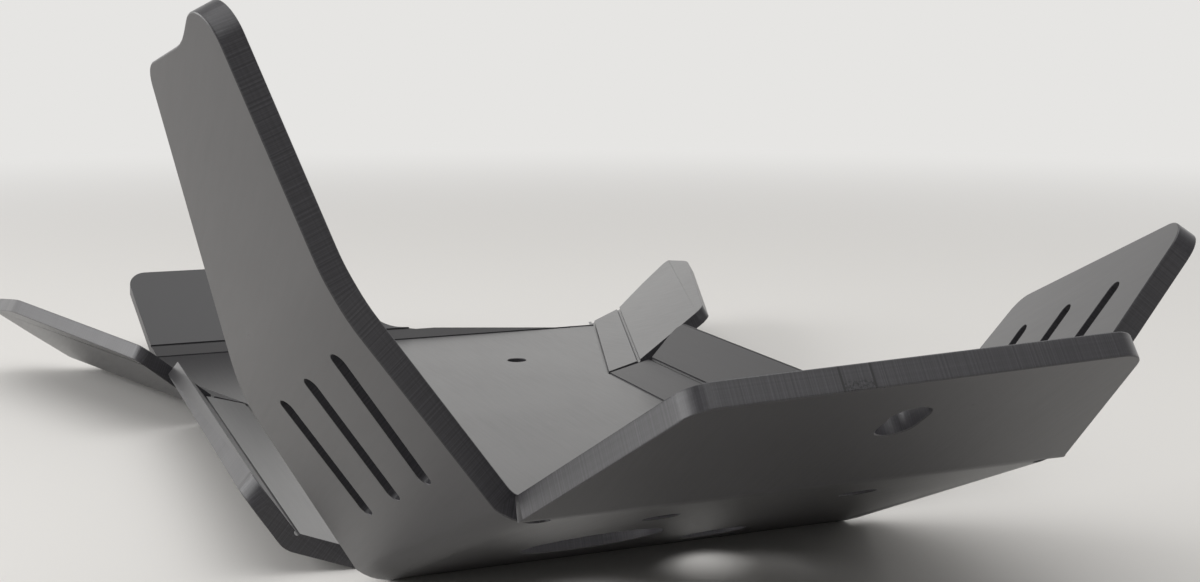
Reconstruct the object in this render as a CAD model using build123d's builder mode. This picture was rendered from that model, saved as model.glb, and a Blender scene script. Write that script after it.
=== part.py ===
from build123d import *

import os
from math import atan, cos, degrees, hypot, radians, sin, tan

# Motorcycle skid plate: one sheet of 6 mm HDPE, routed to shape, scored and heat-bent.
# Millimetres. X points to the rider's left, Y to the rear of the bike and Z up.
# The strips are made from the fold between floor and belly panel, on the centre line and the
# outer face. The finished part's origin is in the middle of the floor, on its underside.
# An outline is a list of corners: x, y and the radius that rounds the corner.

# The sheet and its bends, with each bend's inner radius
sheet = 6.0
fold_radius = 2.0            # scored folds at the rear
wing_fold_radius = 9.0       # where a wing leaves the belly panel
wing_bend_radius = 55.0      # soft bend across the tall wing
belly_radius = 13.0          # between floor and belly panel
ramp_radius = 20.0           # between belly panel and ramp
score_radius = 0.9           # groove along each scored fold

# Floor
floor_length = 335.0
waist_half = 83.5            # half width where the flanges end and the corner flaps start
flange_end = 219.5
flare_half = 125.0           # half width at the rear end of the flap folds
flare_end = 341.0

# Belly panel and ramp
belly_length = 121.5
belly_angle = 24.2
belly_half = 84.5            # half width at the fold to the floor
front_half = 75.3            # half width where the ramp starts
ramp_length = 64.5           # on the centre line
ramp_angle = 35.7
ramp_taper = 0.355           # lost on each side for each mm up the ramp
ramp_top_slant = 4.7         # degrees: the ramp is a little longer on the left
ramp_corner = 8.0
notch_width = 3.4            # between ramp and wing

# Wings: heights along the sheet from the fold, places along it from the front corner
wing_angle = 49.4
wing_front = 2.8
wing_rear = 117.0
bend_height = 64.2           # of the soft bend across the tall wing
bend_angle = 18.0
bend_front = -18.7           # the wing's edges at that height
bend_rear = 72.6
tall_front = -37.0           # corners of the tall wing's top edge
tall_front_height = 132.4
tall_dip = -14.0
tall_dip_height = 128.8
tall_rear = 12.8
tall_rear_height = 135.7
short_height = 71.3          # of the left wing
short_front_corner = 8.0
short_rear_corner = 11.0

# Slots in both wings
slot_count = 3
slot_width = 5.0
slot_low = 20.5              # heights of the end centres
slot_high = 53.5
slot_lean = 0.48             # forward run for each mm of height
slot_first = 20.4            # low end of the first slot
slot_pitch = 24.2

# Side flanges and rear corner flaps: two scored folds each, angles counted from the floor
flange_angles = (20.0, 57.0)
flange_widths = (22.5, 21.0)
flange_start = 14.0
flange_front_run = 5.0       # how far the front edge slants back
flange_corner = 9.0
flap_angles = (20.0, 40.0)
flap_width = 17.6            # of the first strip
flap_front_height = 56.4
flap_shoulder = 119.0
flap_height = 63.9
flap_tip = 162.5
flap_tip_height = 55.0
flap_heel = 131.6            # where the rear edge leaves the fold
flap_rear_bow = 8.0          # how far the rear edge bows forward
slit = 1.2                   # between flange and flap

# Rear tab, with the low lip that runs out of it
tab_angles = (20.0, 40.0)
tab_width = 12.8             # of the first strip
tab_height = 61.8
tab_left = 106.0             # half of the tab's foot, on the right of the bike
tab_flare = 9.0
tab_end = -19.0              # of the top edge
lip_start = 9.5
lip_height = 15.4
lip_end = 109.0
lip_end_height = 1.8

# Holes
ramp_slot_at = (4.0, 41.0)   # from the centre line, and up the ramp
ramp_slot_width = 10.0
ramp_slot_length = 16.0
belly_hole = 10.0
belly_hole_x = 28.5
belly_hole_up = 95.0
drain_hole = 40.0
drain_hole_at = (-30.5, 49.0)
filter_hole = 20.0
filter_hole_at = (18.0, 24.0)
floor_hole = 9.0
floor_hole_at = (53.0, 262.5)

overlap = 14.0               # how far a side strip reaches back into the sheet it joins
allowance = 6.0              # trimmed off a strip's free edge
through = 60.0               # half depth of a cutter


def corners_of(start, angles, lengths):
    """The outer face of a folded strip: straight runs, each at its own angle from the flat."""
    points = [start]
    for angle, length in zip(angles, lengths):
        last = points[-1]
        points.append((last[0] + length * cos(radians(angle)), last[1] + length * sin(radians(angle))))
    return points


def score_points(corners, angles):
    """The middle of the inner face at each scored fold."""
    spots = []
    before = 0.0
    for corner, after in zip(corners, angles):
        reach = (fold_radius + sheet) / cos(radians((after - before) / 2)) - fold_radius
        middle = radians((before + after) / 2)
        spots.append((corner[0] - sin(middle) * reach, corner[1] + cos(middle) * reach))
        before = after
    return spots


def setback(inner_radius, angle):
    """How far before its corner a bend starts, on the outer face."""
    return (inner_radius + sheet) * tan(radians(angle / 2))


def folded_strip(plane, corners, inner_radii, length, scores=()):
    """A strip of sheet bent round the given corners of its outer face, and scored inside."""
    with BuildPart() as strip:
        with BuildSketch(plane):
            with BuildLine():
                FilletPolyline(*corners, radius=[radius + sheet for radius in inner_radii])
                offset(amount=sheet, side=Side.LEFT)
            make_face()
            if scores:
                with Locations(*scores):
                    Circle(score_radius, mode=Mode.SUBTRACT)
        extrude(amount=length)
    return strip.part


def standing_prism(plane, corners):
    """A prism that stands on both sides of a panel, with the panel's outline."""
    with BuildPart() as prism:
        with BuildSketch(plane):
            with BuildLine():
                points = [(x, y) for x, y, radius in corners]
                FilletPolyline(*points, radius=[radius for x, y, radius in corners], close=True)
            make_face()
        extrude(amount=through, both=True)
    return prism.part


def both_halves(corners):
    """An outline from its right half, given from front to rear."""
    return corners + [(-x, y, radius) for x, y, radius in reversed(corners)]


# Panels of the centre strip: local y runs to the rear, and local z up out of the inner face
def centre_panel(y, z, angle):
    return Plane(origin=(0, y, z), x_dir=(1, 0, 0), z_dir=(0, -sin(radians(angle)), cos(radians(angle))))


belly_foot = belly_length * cos(radians(belly_angle))
belly_rise = belly_length * sin(radians(belly_angle))
ramp_panel = centre_panel(-belly_foot, belly_rise, -ramp_angle)
belly_panel = centre_panel(0, 0, -belly_angle)
tab_tilt = sum(tab_angles) / 2
tab_panel = centre_panel(floor_length, 0, tab_tilt)

# Where the bends at the sides of the centre strip start
wing_setback = setback(wing_fold_radius, wing_angle)
rear_setback = setback(fold_radius, flange_angles[0])
flare_slope = (flare_half - waist_half) / (flare_end - flange_end)


def ramp_top(side):
    """A top corner of the ramp, on the left for side 1 and on the right for side -1."""
    slant = side * tan(radians(ramp_top_slant))
    reach = (ramp_length + slant * front_half) / (1 + slant * ramp_taper)
    return side * (front_half - ramp_taper * reach), -reach, ramp_corner


def centre_blank():
    """Ramp, belly panel, floor and rear tab, bent in one full-width strip."""
    ramp_reach = ramp_length + front_half * tan(radians(ramp_top_slant)) + allowance
    front = (-belly_foot - ramp_reach * cos(radians(ramp_angle)), belly_rise + ramp_reach * sin(radians(ramp_angle)))
    tab = corners_of((floor_length, 0), tab_angles, (tab_width, tab_height - tab_width + allowance))
    plane = Plane(origin=(-flare_half, 0, 0), x_dir=(0, 1, 0), z_dir=(1, 0, 0))
    radii = (ramp_radius, belly_radius, fold_radius, fold_radius)
    corners = [front, (-belly_foot, belly_rise), (0, 0)] + tab
    return folded_strip(plane, corners, radii, 2 * flare_half, score_points(tab, tab_angles))


def centre_outline():
    """What the router leaves of the centre strip, panel by panel."""
    tab_scale = cos(radians(tab_angles[1] - tab_tilt))
    floor_side = waist_half - rear_setback
    tail_side = floor_side + flare_slope * (floor_length - flange_end)
    ramp = [(-front_half, 0, 0), ramp_top(-1), ramp_top(1), (front_half, 0, 0)]
    belly = [(-front_half + wing_setback, -belly_length, 0), (-belly_half + wing_setback, 0, 0)]
    floor = [(-belly_half + wing_setback, 0, 0), (-belly_half + wing_setback, flange_start, 3),
             (-floor_side, flange_start, 0), (-floor_side, flange_end, 0), (-tail_side, floor_length, 0)]
    tab = [(-tab_left, 0, 0), (-tab_left - tab_flare, tab_height * tab_scale, 8),
           (tab_end, tab_height * tab_scale, 10), (lip_start, lip_height * tab_scale, 18),
           (lip_end, lip_end_height, 1), (lip_end, 0, 0)]
    with BuildPart() as outline:
        add(standing_prism(ramp_panel, ramp))
        add(standing_prism(belly_panel, both_halves(belly)))
        add(standing_prism(Plane.XY, both_halves(floor)))
        add(standing_prism(tab_panel, tab))
    return outline.part


def centre_cuts():
    """Notches beside the ramp, and the holes through floor, belly panel and ramp."""
    notch_y = -belly_length + wing_front - notch_width / 2
    notch_end = front_half - wing_setback
    with BuildPart() as cuts:
        with BuildSketch(belly_panel):
            for side in (-1, 1):
                with Locations((side * (notch_end + front_half) / 2, notch_y)):
                    SlotCenterToCenter(front_half - notch_end, notch_width)
            with Locations((-belly_hole_x, -belly_hole_up), (belly_hole_x, -belly_hole_up)):
                Circle(belly_hole / 2)
            with Locations((drain_hole_at[0], -drain_hole_at[1])):
                Circle(drain_hole / 2)
            with Locations((filter_hole_at[0], -filter_hole_at[1])):
                Circle(filter_hole / 2)
        extrude(amount=3 * sheet, both=True)
        with BuildSketch(ramp_panel):
            with Locations((ramp_slot_at[0], -ramp_slot_at[1])):
                SlotOverall(ramp_slot_length, ramp_slot_width, rotation=90)
        extrude(amount=3 * sheet, both=True)
        with BuildSketch(Plane.XY):
            with Locations(floor_hole_at):
                Circle(floor_hole / 2)
        extrude(amount=3 * sheet, both=True)
    return cuts.part


class SideStrip:
    """A strip folded up from a straight line on the right of the centre strip."""

    def __init__(self, start, end, normal, angles, widths):
        self.start = Vector(*start)
        self.along = (Vector(*end) - self.start).normalized()
        self.normal = Vector(*normal)
        self.out = self.normal.cross(self.along).normalized()
        self.angles = angles
        self.corners = corners_of((0, 0), angles, widths)

    def blank(self, first, last, radii, scored):
        """The strip from first to last along its fold, before it is routed."""
        plane = Plane(origin=self.start + self.along * first, x_dir=self.out, z_dir=self.along)
        scores = score_points(self.corners, self.angles) if scored else ()
        return folded_strip(plane, [(-overlap, 0)] + self.corners, radii, last - first, scores)

    def panel(self, angle):
        """Plane through the fold: local x along it, local y up the strip."""
        tilt = radians(angle)
        return Plane(origin=self.start, x_dir=self.along, z_dir=self.normal * cos(tilt) - self.out * sin(tilt))


def routed(blank, *outlines):
    """A blank cut to the sum of its outlines."""
    with BuildPart() as outline:
        for prism in outlines:
            add(prism)
    with BuildPart() as piece:
        add(blank)
        add(outline.part, mode=Mode.INTERSECT)
    return piece.part


def wing_line():
    """The fold between belly panel and right wing, and the belly panel's inner normal."""
    normal = (0, sin(radians(belly_angle)), cos(radians(belly_angle)))
    return (-front_half, -belly_foot, belly_rise), (-belly_half, 0, 0), normal


def wing_slots(wing):
    """The slanted slots through a wing."""
    middle = (slot_low + slot_high) / 2
    rise = slot_high - slot_low
    with BuildPart() as slots:
        with BuildSketch(wing.panel(wing_angle)):
            for number in range(slot_count):
                with Locations((slot_first + number * slot_pitch - slot_lean * rise / 2, middle)):
                    SlotCenterToCenter(hypot(rise, slot_lean * rise), slot_width, rotation=90 + degrees(atan(slot_lean)))
        extrude(amount=3 * sheet, both=True)
    return slots.part


def slotted(wing, piece):
    with BuildPart() as finished:
        add(piece)
        add(wing_slots(wing), mode=Mode.SUBTRACT)
    return finished.part


def tall_wing():
    """The right wing, which bends once more and ends in two shallow lobes."""
    rise = tall_rear_height - bend_height + allowance
    wing = SideStrip(*wing_line(), (wing_angle, wing_angle + bend_angle), (bend_height, rise))
    tilt = wing_angle + bend_angle / 2
    scale = cos(radians(bend_angle / 2))
    square = sheet * sin(radians(tilt))
    corners = [(wing_front, -overlap, 0), (wing_front, square, 0), (bend_front, bend_height * scale, 20),
               (tall_front, tall_front_height * scale, 9), (tall_dip, tall_dip_height * scale, 20),
               (tall_rear, tall_rear_height * scale, 8), (bend_rear, bend_height * scale, 40),
               (wing_rear, square, 0), (wing_rear, -overlap, 0)]
    blank = wing.blank(tall_front - allowance, wing_rear + allowance, (wing_fold_radius, wing_bend_radius), False)
    return slotted(wing, routed(blank, standing_prism(wing.panel(tilt), corners)))


def short_wing():
    """The left wing, made on the right and mirrored later: one flat panel with a straight top."""
    wing = SideStrip(*wing_line(), (wing_angle,), (short_height + allowance,))
    square = sheet * sin(radians(wing_angle))
    front_lean = (wing_front - bend_front) / (bend_height - square)
    rear_lean = (wing_rear - bend_rear) / (bend_height - square)
    top = short_height - square
    corners = [(wing_front, -overlap, 0), (wing_front, square, 0),
               (wing_front - front_lean * top, short_height, short_front_corner),
               (wing_rear - rear_lean * top, short_height, short_rear_corner),
               (wing_rear, square, 0), (wing_rear, -overlap, 0)]
    first = wing_front - front_lean * top - allowance
    blank = wing.blank(first, wing_rear + allowance, (wing_fold_radius,), False)
    return slotted(wing, routed(blank, standing_prism(wing.panel(wing_angle), corners)))


def side_flange():
    """The right side flange, from the relief behind the wing to the slit."""
    line = ((-waist_half, 0, 0), (-waist_half, flange_end, 0), (0, 0, 1))
    flange = SideStrip(*line, flange_angles, (flange_widths[0], flange_widths[1] + allowance))
    tilt = sum(flange_angles) / 2
    scale = cos(radians(flange_angles[1] - tilt))
    height = sum(flange_widths)
    corners = [(flange_start, -overlap, 0), (flange_start, sheet * sin(radians(tilt)), 0),
               (flange_start + flange_front_run, height * scale, flange_corner),
               (flange_end - flare_slope * height, height * scale, flange_corner),
               (flange_end, 0, 0), (flange_end, -overlap, 0)]
    blank = flange.blank(0, flange_end, (fold_radius, fold_radius), True)
    return routed(blank, standing_prism(flange.panel(tilt), corners))


def corner_flap():
    """The right corner flap, which flares out behind the slit."""
    line = ((-waist_half, flange_end, 0), (-flare_half, flare_end, 0), (0, 0, 1))
    flap = SideStrip(*line, flap_angles, (flap_width, flap_height - flap_width + allowance))
    tilt = sum(flap_angles) / 2
    scale = cos(radians(flap_angles[1] - tilt))
    foot_end = (floor_length - flange_end) / cos(atan(flare_slope)) - allowance / 3
    bow_height = (flap_tip_height + flap_width) / 2
    bow = (flap_heel + flap_tip) / 2 + flap_rear_bow
    corners = [(slit, 0, 0), (slit, flap_front_height * scale, 5), (flap_shoulder, flap_height * scale, 40),
               (flap_tip, flap_tip_height * scale, 4), (bow, bow_height * scale, 20),
               (flap_heel, 0, 0)]
    foot = [(slit, -overlap, 0), (slit, 0, 0), (foot_end, 0, 0), (foot_end, -overlap, 0)]
    blank = flap.blank(0, flap_tip + allowance, (fold_radius, fold_radius), True)
    plane = flap.panel(tilt)
    return routed(blank, standing_prism(plane, corners), standing_prism(plane, foot))


with BuildPart() as centre:
    add(routed(centre_blank(), centre_outline()))
    add(centre_cuts(), mode=Mode.SUBTRACT)

with BuildPart() as rear_side:
    add(side_flange())
    add(corner_flap())

with BuildPart() as left_wing:
    add(short_wing())
    mirror(about=Plane.YZ, mode=Mode.REPLACE)

with BuildPart() as folded_sheet:
    add(centre)
    add(tall_wing())
    add(left_wing)
    add(rear_side)
    mirror(rear_side.part, about=Plane.YZ)

# The origin moves to the middle of the floor
with BuildPart() as skid_plate:
    with Locations((0, -floor_length / 2, 0)):
        add(folded_sheet)
skid_plate.part.label = "skid_plate"
os.makedirs("parts", exist_ok=True)
export_step(skid_plate.part, "parts/skid_plate.step")
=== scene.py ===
import math

import bmesh
import bpy
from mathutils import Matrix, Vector
from mathutils.bvhtree import BVHTree


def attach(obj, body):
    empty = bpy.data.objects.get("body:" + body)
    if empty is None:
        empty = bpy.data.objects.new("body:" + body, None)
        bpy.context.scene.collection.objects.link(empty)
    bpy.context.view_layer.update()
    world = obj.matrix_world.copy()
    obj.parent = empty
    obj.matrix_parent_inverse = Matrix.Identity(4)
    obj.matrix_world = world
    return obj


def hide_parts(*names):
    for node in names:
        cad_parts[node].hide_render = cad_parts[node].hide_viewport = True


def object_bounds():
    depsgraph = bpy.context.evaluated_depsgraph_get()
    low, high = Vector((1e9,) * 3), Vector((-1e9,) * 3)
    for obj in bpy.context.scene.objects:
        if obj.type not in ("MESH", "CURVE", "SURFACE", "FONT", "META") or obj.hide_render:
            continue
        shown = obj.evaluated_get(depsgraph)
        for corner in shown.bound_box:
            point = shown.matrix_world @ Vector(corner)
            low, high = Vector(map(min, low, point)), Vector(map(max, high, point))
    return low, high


# Motorcycle skid plate: one sheet of black HDPE, routed, scored and heat-bent.
# Everything is in metres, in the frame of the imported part.

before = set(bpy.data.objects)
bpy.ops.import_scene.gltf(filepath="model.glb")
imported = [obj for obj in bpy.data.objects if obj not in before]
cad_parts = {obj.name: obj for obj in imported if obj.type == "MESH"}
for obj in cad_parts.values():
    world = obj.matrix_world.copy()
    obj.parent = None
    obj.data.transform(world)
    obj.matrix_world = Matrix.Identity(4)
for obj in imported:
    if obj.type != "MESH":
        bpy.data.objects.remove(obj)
cad_box = [list(corner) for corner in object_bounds()]
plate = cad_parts["skid_plate"]

MILLIMETRE = 0.001

# The sheet, and how its mesh is cleaned and its sharp corners are broken
SHEET = 6 * MILLIMETRE
ROUTED_DEPTH = 1.12 * SHEET        # a face with more sheet than this behind it was cut by the router
PROBE_START = 0.05 * MILLIMETRE    # that depth is measured from just under the face
ABOVE_FLOOR = Vector((0, -0.05, 0.4))
WELD = 0.002 * MILLIMETRE
FLAT_ANGLE = math.radians(0.2)
SHORTEST_EDGE = 0.03 * MILLIMETRE
SHARP_ANGLE = math.radians(28)
EDGE_BREAK = 0.3 * MILLIMETRE
ROOM_SHARE = 0.4                   # of the shortest edge beside it, the most that an edge break takes
STRAY = 0.12 * MILLIMETRE          # past this a broken corner has left the sheet, and is set back on it
SATIN = 0                          # material slots
ROUTED = 1

# Patterns, by the spacing of what they draw
HDPE_IOR = 1.54
CLOUD = 60 * MILLIMETRE
ORANGE_PEEL = 1.4 * MILLIMETRE
HAIRLINE = 0.9 * MILLIMETRE
HAIRLINE_STRETCH = (1.0, 0.04, 0.04)
HAIRLINE_TURN = (0.0, 0.0, math.radians(8))
CHATTER = 0.5 * MILLIMETRE         # about as fine as the render can show
CHATTER_WAVE = 9 * MILLIMETRE
PASS_WIDTH = 0.16                  # of the sheet's thickness
PASS_DRIFT = 2.0
SCUFF = 0.6 * MILLIMETRE

# The mark where the cutter ran in, on the ramp's top edge
RAMP_TOP_Y = -0.318                # everything on the part further forward is that edge
CUTTER_MARK_X = -18 * MILLIMETRE
CUTTER_MARK_HALF = 3.6 * MILLIMETRE
MARK_LINE_CORE = 0.15 * MILLIMETRE
MARK_LINE_HALF = 0.4 * MILLIMETRE
MARK_RIM = 0.2 * MILLIMETRE

# Camera, in degrees, metres and millimetres of lens and sensor
CAMERA_AZIMUTH = -22.02
CAMERA_ELEVATION = 9.13
CAMERA_DISTANCE = 0.5176
CAMERA_TARGET = Vector((0.0081, -0.1225, 0.0747))
CAMERA_LENS = 46.5
CAMERA_SENSOR = 36.0
CAMERA_CLIP = 0.01

# Studio
BACKDROP = "#e6e5e3"
FLOOR = "#d9d7d4"
FLOOR_SIZE = 40
SWEEP_START = 0.4                  # distances at which the floor starts and ends running into the backdrop
SWEEP_END = 1.7
SOFTBOX_POWER = 18

# Kinds of node that are used often
MAP_RANGE = "ShaderNodeMapRange"
MATH = "ShaderNodeMath"
MIX = "ShaderNodeMix"
NOISE = "ShaderNodeTexNoise"


def linear(code):
    """An sRGB hex colour as linear red, green, blue and alpha."""
    parts = [int(code[i:i + 2], 16) / 255 for i in (1, 3, 5)]
    return tuple(c / 12.92 if c <= 0.04045 else ((c + 0.055) / 1.055) ** 2.4 for c in parts) + (1.0,)


def add_node(tree, kind, *values, named=(), **settings):
    """A node with its settings, its first inputs in order and others by name, each set or linked."""
    made = tree.nodes.new(kind)
    for name, value in settings.items():
        setattr(made, name, value)
    for name, value in [*enumerate(values), *dict(named).items()]:
        if isinstance(value, bpy.types.NodeSocket):
            tree.links.new(value, made.inputs[name])
        else:
            made.inputs[name].default_value = value
    return made


def new_material(name):
    """An empty material, and the shader and tree that it is built on."""
    material = bpy.data.materials.new(name)
    material.use_nodes = True
    tree = material.node_tree
    tree.nodes.clear()
    shader = add_node(tree, "ShaderNodeBsdfPrincipled")
    add_node(tree, "ShaderNodeOutputMaterial", named={"Surface": shader.outputs["BSDF"]})
    return material, tree, shader


def planed_sheet():
    """Extruded HDPE sheet: a waxy satin face with faint handling scuffs and a fine orange peel."""
    material, tree, shader = new_material("hdpe_sheet_satin")
    place = add_node(tree, "ShaderNodeTexCoord").outputs["Object"]
    spots = {"Vector": place, "Scale": 1 / CLOUD, "Detail": 3.0}
    cloud = add_node(tree, NOISE, named=spots).outputs["Fac"]
    dimples = {"Vector": place, "Scale": 1 / ORANGE_PEEL}
    peel = add_node(tree, NOISE, named=dimples).outputs["Fac"]
    turned = {"Vector": place, "Scale": HAIRLINE_STRETCH, "Rotation": HAIRLINE_TURN}
    stretch = add_node(tree, "ShaderNodeMapping", named=turned).outputs[0]
    scratches = {"Vector": stretch, "Scale": 1 / HAIRLINE, "Detail": 4.0, "Roughness": 0.6}
    hairlines = add_node(tree, NOISE, named=scratches).outputs["Fac"]
    shader.inputs["IOR"].default_value = HDPE_IOR
    blacks = {0: cloud, 6: linear("#302f31"), 7: linear("#373638")}
    colour = add_node(tree, MIX, named=blacks, data_type="RGBA").outputs[2]
    tree.links.new(colour, shader.inputs["Base Color"])
    worn = add_node(tree, MATH, cloud, hairlines, operation="MULTIPLY").outputs[0]
    sheen = add_node(tree, MAP_RANGE, worn, 0.0, 1.0, 0.26, 0.40).outputs[0]
    tree.links.new(sheen, shader.inputs["Roughness"])
    pimpled = {"Height": peel, "Strength": 0.10, "Distance": 0.02 * MILLIMETRE}
    bump = add_node(tree, "ShaderNodeBump", named=pimpled).outputs[0]
    scored = {"Height": hairlines, "Strength": 0.12, "Distance": 0.02 * MILLIMETRE, "Normal": bump}
    fine = add_node(tree, "ShaderNodeBump", named=scored).outputs[0]
    tree.links.new(fine, shader.inputs["Normal"])
    return material


def cutter_mark(tree, height):
    """A factor for the mark on the ramp's top edge: two dark lines, scuffed between them low down."""
    place = add_node(tree, "ShaderNodeTexCoord").outputs["Object"]
    parts = add_node(tree, "ShaderNodeSeparateXYZ", place).outputs
    smooth = {"interpolation_type": "SMOOTHSTEP"}
    offset = add_node(tree, MATH, parts["X"], CUTTER_MARK_X, operation="SUBTRACT").outputs[0]
    apart = add_node(tree, MATH, offset, operation="ABSOLUTE").outputs[0]
    past = add_node(tree, MATH, apart, CUTTER_MARK_HALF, operation="SUBTRACT").outputs[0]
    beside = add_node(tree, MATH, past, operation="ABSOLUTE").outputs[0]
    lines = add_node(tree, MAP_RANGE, beside, MARK_LINE_CORE, MARK_LINE_HALF, 1.0, 0.0, **smooth).outputs[0]
    rim = CUTTER_MARK_HALF - MARK_RIM
    inside = add_node(tree, MAP_RANGE, apart, rim, CUTTER_MARK_HALF, 1.0, 0.0, **smooth).outputs[0]
    specks = {"Vector": place, "Scale": 1 / SCUFF, "Detail": 4.0, "Roughness": 0.8}
    speckle = add_node(tree, NOISE, named=specks).outputs["Fac"]
    scuffs = add_node(tree, MAP_RANGE, speckle, 0.48, 0.58, 0.0, 1.0, **smooth).outputs[0]
    low = add_node(tree, MAP_RANGE, height, 0.25, 0.5, 1.0, 0.0, **smooth).outputs[0]
    strip = add_node(tree, MATH, inside, low, operation="MULTIPLY").outputs[0]
    patch = add_node(tree, MATH, scuffs, strip, operation="MULTIPLY").outputs[0]
    either = add_node(tree, MATH, lines, patch, operation="MAXIMUM").outputs[0]
    back = RAMP_TOP_Y + SHEET
    front = add_node(tree, MAP_RANGE, parts["Y"], RAMP_TOP_Y, back, 1.0, 0.0, **smooth).outputs[0]
    return add_node(tree, MATH, either, front, operation="MULTIPLY").outputs[0]


def routed_edge():
    """The same HDPE where the router cut it: fine chatter lines across, and a few passes along."""
    material, tree, shader = new_material("hdpe_routed_edge")
    strip = add_node(tree, "ShaderNodeUVMap", uv_map="edge_strip").outputs[0]
    along, height = add_node(tree, "ShaderNodeSeparateXYZ", strip).outputs[:2]
    across = add_node(tree, "ShaderNodeCombineXYZ", along).outputs[0]
    teeth = {"Vector": across, "Scale": 1 / CHATTER, "Detail": 3.0, "Roughness": 0.7}
    chatter = add_node(tree, NOISE, named=teeth).outputs["Fac"]
    swells = {"Vector": across, "Scale": 1 / CHATTER_WAVE}
    waves = add_node(tree, NOISE, named=swells).outputs["Fac"]
    drift = add_node(tree, MAP_RANGE, along, 0.0, 1.0, 0.0, PASS_DRIFT).outputs[0]
    deep = add_node(tree, "ShaderNodeCombineXYZ", drift, height).outputs[0]
    depths = {"Vector": deep, "Scale": 1 / PASS_WIDTH, "Roughness": 0.6}
    passes = add_node(tree, NOISE, named=depths).outputs["Fac"]
    streaks = add_node(tree, MAP_RANGE, passes, 0.0, 1.0, 0.6, 1.0).outputs[0]
    grain = add_node(tree, MATH, chatter, streaks, operation="MULTIPLY").outputs[0]
    lines = add_node(tree, MAP_RANGE, grain, 0.0, 1.0, -1.2, 2.4).outputs[0]
    greys = {0: lines, 6: linear("#313033"), 7: linear("#504f53")}
    plain = add_node(tree, MIX, named=greys, data_type="RGBA").outputs[2]
    marks = {0: cutter_mark(tree, height), 6: plain, 7: linear("#19181a")}
    marked = add_node(tree, MIX, named=marks, data_type="RGBA").outputs[2]
    shader.inputs["IOR"].default_value = HDPE_IOR
    tree.links.new(marked, shader.inputs["Base Color"])
    sheen = add_node(tree, MAP_RANGE, waves, 0.0, 1.0, 0.26, 0.42).outputs[0]
    tree.links.new(sheen, shader.inputs["Roughness"])
    ribbed = {"Height": chatter, "Strength": 0.20, "Distance": 0.04 * MILLIMETRE}
    bump = add_node(tree, "ShaderNodeBump", named=ribbed).outputs[0]
    stepped = {"Height": passes, "Strength": 0.10, "Distance": 0.1 * MILLIMETRE, "Normal": bump}
    ridge = add_node(tree, "ShaderNodeBump", named=stepped).outputs[0]
    tree.links.new(ridge, shader.inputs["Normal"])
    return material


def is_routed(tree, face):
    """True for a face across the sheet's thickness, where the far side lies deeper than the sheet."""
    centre = face.calc_center_median()
    depth = tree.ray_cast(centre - face.normal * PROBE_START, -face.normal)[3]
    return depth is None or depth > ROUTED_DEPTH


def thickness_direction(face):
    """Across the sheet at a routed face, from the outer to the inner side."""
    found = Vector()
    for edge in face.edges:
        for other in edge.link_faces:
            if other.material_index == SATIN:
                inward = (ABOVE_FLOOR - other.calc_center_median()).dot(other.normal) > 0
                found += other.normal if inward else -other.normal
    return found.normalized() if found.length > 0 else Vector((0, 0, 1))


def unroll_edges(mesh):
    """Lays each routed face out as a strip: x along the edge in metres, y from 0 to 1 across it."""
    strip = mesh.loops.layers.uv.new("edge_strip")
    for face in mesh.faces:
        up = thickness_direction(face) if face.material_index == ROUTED else Vector((0, 0, 1))
        along = up.cross(face.normal)
        low = min(corner.vert.co.dot(up) for corner in face.loops)
        for corner in face.loops:
            place = corner.vert.co
            corner[strip].uv = (place.dot(along), (place.dot(up) - low) / SHEET)


def weigh_corners(mesh):
    """Marks the edges where a face meets the router's cut, each for as wide a break as it has room for."""
    weights = mesh.edges.layers.float.new("bevel_weight_edge")
    for edge in mesh.edges:
        sides = {face.material_index for face in edge.link_faces}
        room = min(near.calc_length() for vert in edge.verts for near in vert.link_edges)
        edge[weights] = min(1.0, ROOM_SHARE * room / EDGE_BREAK) if len(sides) == 2 else 0.0


def finished_sheet(sheet_material, edge_material):
    """A copy of the CAD sheet with its sharp corners broken and its routed edges told apart."""
    mesh = bmesh.new()
    mesh.from_mesh(plate.data)
    bmesh.ops.remove_doubles(mesh, verts=mesh.verts, dist=WELD)
    tree = BVHTree.FromBMesh(mesh)
    for face in mesh.faces:
        face.material_index = ROUTED if is_routed(tree, face) else SATIN
        face.smooth = True
    bmesh.ops.dissolve_limit(mesh, angle_limit=FLAT_ANGLE, verts=mesh.verts, edges=mesh.edges,
                             delimit={"MATERIAL"})
    bmesh.ops.dissolve_degenerate(mesh, dist=SHORTEST_EDGE, edges=mesh.edges)
    weigh_corners(mesh)
    unroll_edges(mesh)
    data = bpy.data.meshes.new("folded_sheet")
    mesh.to_mesh(data)
    mesh.free()
    data.set_sharp_from_angle(angle=SHARP_ANGLE)
    data.materials.append(sheet_material)
    data.materials.append(edge_material)
    sheet = bpy.data.objects.new("folded_sheet", data)
    bpy.context.collection.objects.link(sheet)
    bevel = sheet.modifiers.new("edge_break", "BEVEL")
    bevel.width = EDGE_BREAK
    bevel.segments = 2
    bevel.limit_method = "WEIGHT"
    bevel.use_clamp_overlap = False
    weighted = sheet.modifiers.new("flat_panels", "WEIGHTED_NORMAL")
    weighted.weight = 100
    weighted.keep_sharp = True
    result = bpy.data.meshes.new_from_object(sheet.evaluated_get(bpy.context.evaluated_depsgraph_get()))
    for vert in result.vertices:
        nearest, _, _, distance = tree.find_nearest(vert.co)
        if distance > STRAY:
            vert.co = nearest
    sheet.modifiers.clear()
    sheet.data = result
    result.name = "folded_sheet"
    return sheet


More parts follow.
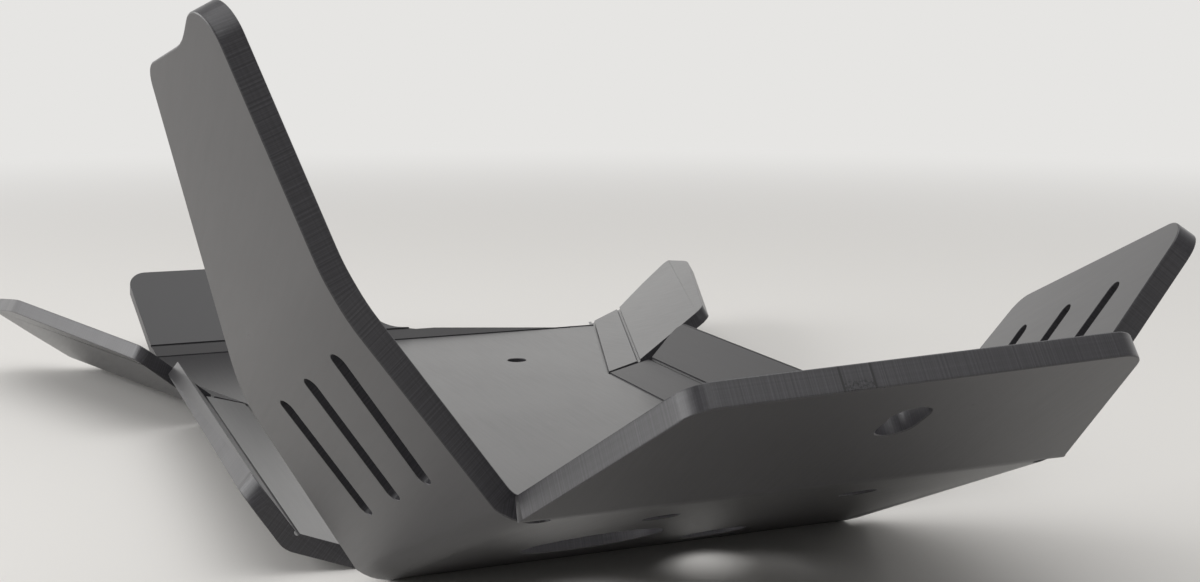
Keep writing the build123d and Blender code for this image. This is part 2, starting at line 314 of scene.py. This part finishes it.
def studio_floor():
    """A plain pale floor under the part, which runs into the backdrop without a horizon."""
    bpy.ops.mesh.primitive_plane_add(size=FLOOR_SIZE, location=(0, 0, cad_box[0][2]))
    floor = bpy.context.object
    floor.name = "studio_floor"
    material, tree, shader = new_material("pale_floor")
    shader.inputs["Base Color"].default_value = linear(FLOOR)
    shader.inputs["Roughness"].default_value = 0.9
    place = add_node(tree, "ShaderNodeTexCoord").outputs["Object"]
    far = add_node(tree, "ShaderNodeVectorMath", place, operation="LENGTH").outputs["Value"]
    fade = add_node(tree, MAP_RANGE, far, SWEEP_START, SWEEP_END, 0.0, 1.0,
                    interpolation_type="SMOOTHSTEP").outputs[0]
    glow = add_node(tree, "ShaderNodeEmission", linear(BACKDROP)).outputs[0]
    mixed = add_node(tree, "ShaderNodeMixShader", fade, shader.outputs[0], glow).outputs[0]
    tree.links.new(mixed, tree.nodes["Material Output"].inputs["Surface"])
    floor.data.materials.append(material)


def softbox(name, place, target, width, height):
    """A soft rectangular lamp that points at a target."""
    light = bpy.data.lights.new(name, "AREA")
    light.shape = "RECTANGLE"
    light.size = width
    light.size_y = height
    light.energy = SOFTBOX_POWER
    lamp = bpy.data.objects.new(name, light)
    lamp.location = place
    lamp.rotation_euler = (Vector(target) - Vector(place)).to_track_quat("-Z", "Y").to_euler()
    bpy.context.collection.objects.link(lamp)


def studio_light():
    """A pale sweep, bright behind the part and dim in front, with softboxes overhead and on its right."""
    world = bpy.data.worlds.new("studio")
    world.use_nodes = True
    tree = world.node_tree
    tree.nodes.clear()
    direction = add_node(tree, "ShaderNodeTexCoord").outputs["Generated"]
    parts = add_node(tree, "ShaderNodeSeparateXYZ", direction).outputs
    smooth = {"interpolation_type": "SMOOTHSTEP"}
    behind = add_node(tree, MAP_RANGE, parts["Y"], -0.5, 0.6, 0.35, 1.35, **smooth).outputs[0]
    low = add_node(tree, MAP_RANGE, parts["Z"], 0.2, 0.65, 1.0, 0.5, **smooth).outputs[0]
    light = add_node(tree, MATH, behind, low, operation="MULTIPLY").outputs[0]
    seen = add_node(tree, "ShaderNodeLightPath").outputs["Is Camera Ray"]
    strength = add_node(tree, MIX, named={0: seen, 2: light, 3: 1.0}).outputs[0]
    background = add_node(tree, "ShaderNodeBackground", linear(BACKDROP), strength).outputs[0]
    add_node(tree, "ShaderNodeOutputWorld", named={"Surface": background})
    bpy.context.scene.world = world
    softbox("overhead_softbox", (0.2, -0.3, 1.5), (0, 0, 0), 2.2, 1.8)
    softbox("right_softbox", (-1.5, 0.3, 0.6), (0, 0, 0.08), 1.8, 1.0)


def place_camera():
    """The photograph's viewpoint."""
    azimuth = math.radians(CAMERA_AZIMUTH)
    elevation = math.radians(CAMERA_ELEVATION)
    back = Vector((math.sin(azimuth) * math.cos(elevation), -math.cos(azimuth) * math.cos(elevation),
                   math.sin(elevation)))
    camera = bpy.data.objects.new("camera", bpy.data.cameras.new("camera"))
    camera.data.lens = CAMERA_LENS
    camera.data.sensor_width = CAMERA_SENSOR
    camera.data.clip_start = CAMERA_CLIP
    camera.location = CAMERA_TARGET + back * CAMERA_DISTANCE
    camera.rotation_euler = (-back).to_track_quat("-Z", "Y").to_euler()
    bpy.context.collection.objects.link(camera)
    bpy.context.scene.camera = camera


sheet = finished_sheet(planed_sheet(), routed_edge())
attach(sheet, "root")
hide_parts("skid_plate")
studio_floor()
studio_light()
place_camera()
bpy.context.scene.view_settings.view_transform = "Standard"
